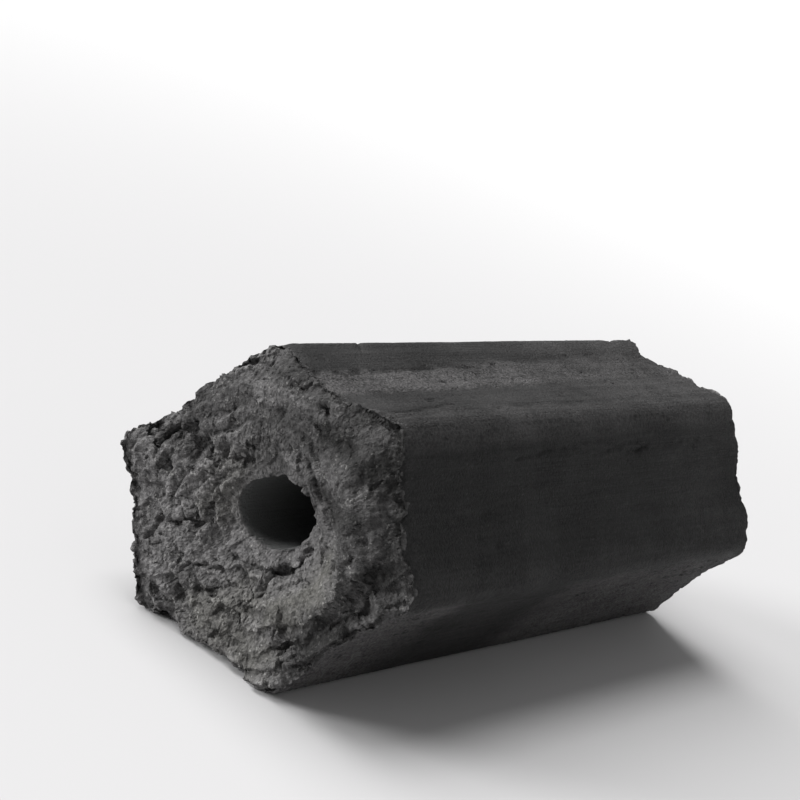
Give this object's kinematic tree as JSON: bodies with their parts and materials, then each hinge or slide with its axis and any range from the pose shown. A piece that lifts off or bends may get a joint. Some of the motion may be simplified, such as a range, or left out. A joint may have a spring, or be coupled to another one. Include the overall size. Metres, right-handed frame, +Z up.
{
  "type": "charcoal stick",
  "caption": "Hexagonal stick of pressed sawdust charcoal with shallow hollows along its sides, a round air hole through its middle and both ends snapped off rough.",
  "frame": {"origin": "bottom centre of the stick's box, on the surface it lies on", "axes": "+X along the stick from the front break to the rear break, +Z up, across two of its six sides"},
  "size_m": [0.111, 0.049, 0.0433],
  "materials": {
    "charcoal": "matte"
  },
  "bodies": {
    "root": {"charcoal_stick": "charcoal"}
  },
  "joints": []
}
